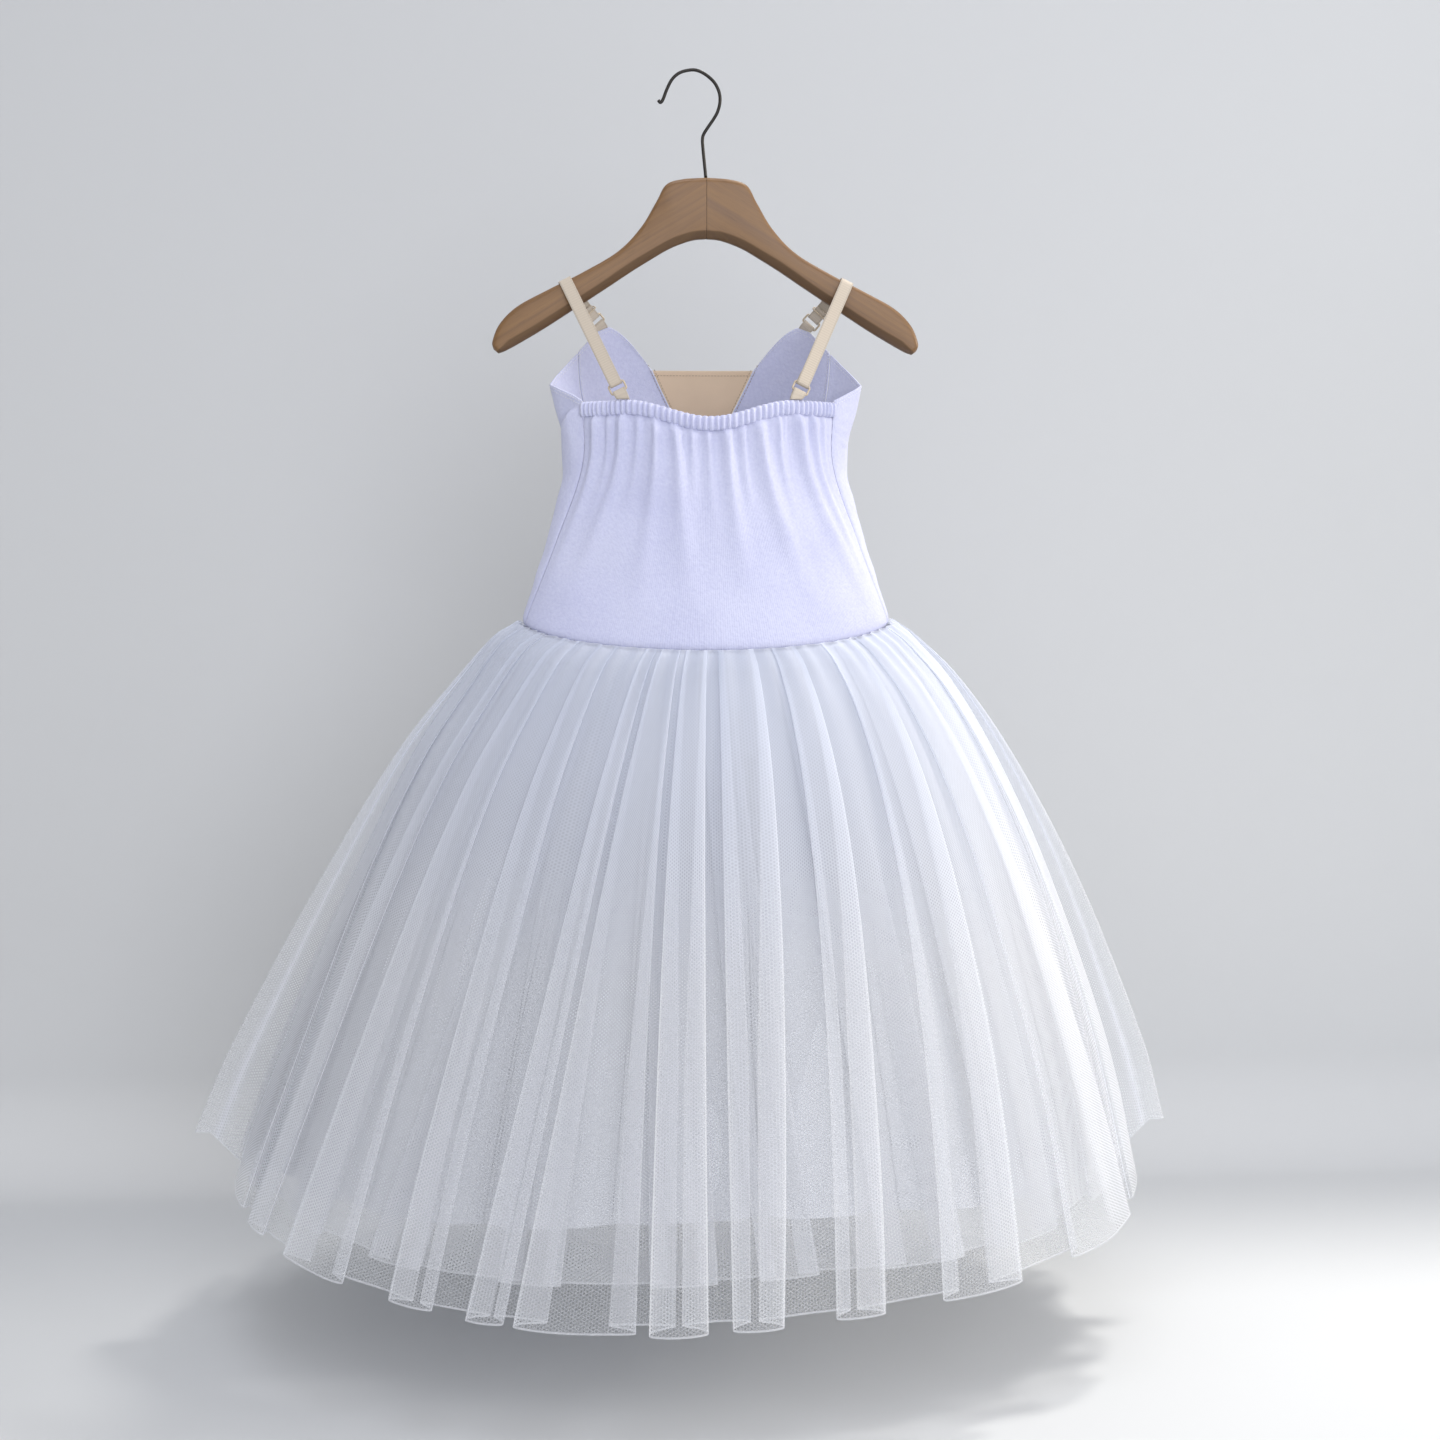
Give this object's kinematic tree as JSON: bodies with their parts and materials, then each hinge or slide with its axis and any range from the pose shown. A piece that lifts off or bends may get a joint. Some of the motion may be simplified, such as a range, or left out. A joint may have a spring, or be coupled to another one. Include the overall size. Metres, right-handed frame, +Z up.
{
  "type": "ballet dress on a hanger",
  "caption": "Child's ballet dress with thin shoulder straps, a gathered elastic back and a long layered tulle skirt, hanging from a wooden hanger with a wire hook.",
  "frame": {"origin": "inside of the hook's crown, where a pin or rail carries the hanger", "axes": "+Z up; -Y towards the dress's back, which the picture shows, and +Y towards its front; +X to the right as seen from the back"},
  "size_m": [0.7764, 0.6008, 0.9086],
  "materials": {
    "jersey": "matt stretch jersey with a fine nap",
    "nude_insert": "smooth nude stretch cloth with a faint sheen",
    "strap_elastic": "beige strap elastic with a satin face",
    "coated_metal": "beige coated wire",
    "tulle": "soft see-through net",
    "hanger_wood": "stained wood with a satin varnish",
    "hook_steel": "dark plated steel wire"
  },
  "bodies": {
    "root": {"back_panel": "jersey", "back_casing": "jersey", "side_panel_left": "jersey", "side_panel_right": "jersey", "front_panel_left": "jersey", "front_panel_right": "jersey", "brief_back": "jersey", "brief_front": "jersey", "front_insert": "nude_insert", "strap_left": "strap_elastic", "strap_right": "strap_elastic", "back_tab_left": "strap_elastic", "back_tab_right": "strap_elastic", "front_tab_left": "strap_elastic", "front_tab_right": "strap_elastic", "back_ring_left": "coated_metal", "back_ring_right": "coated_metal", "front_ring_left": "coated_metal", "front_ring_right": "coated_metal", "front_slider_left": "coated_metal", "front_slider_right": "coated_metal", "skirt_outer_back": "tulle", "skirt_outer_front": "tulle", "skirt_middle_back": "tulle", "skirt_middle_front": "tulle", "skirt_inner_back": "tulle", "skirt_inner_front": "tulle", "hanger_arm_left": "hanger_wood", "hanger_arm_right": "hanger_wood", "hanger_hook": "hook_steel"}
  },
  "joints": []
}
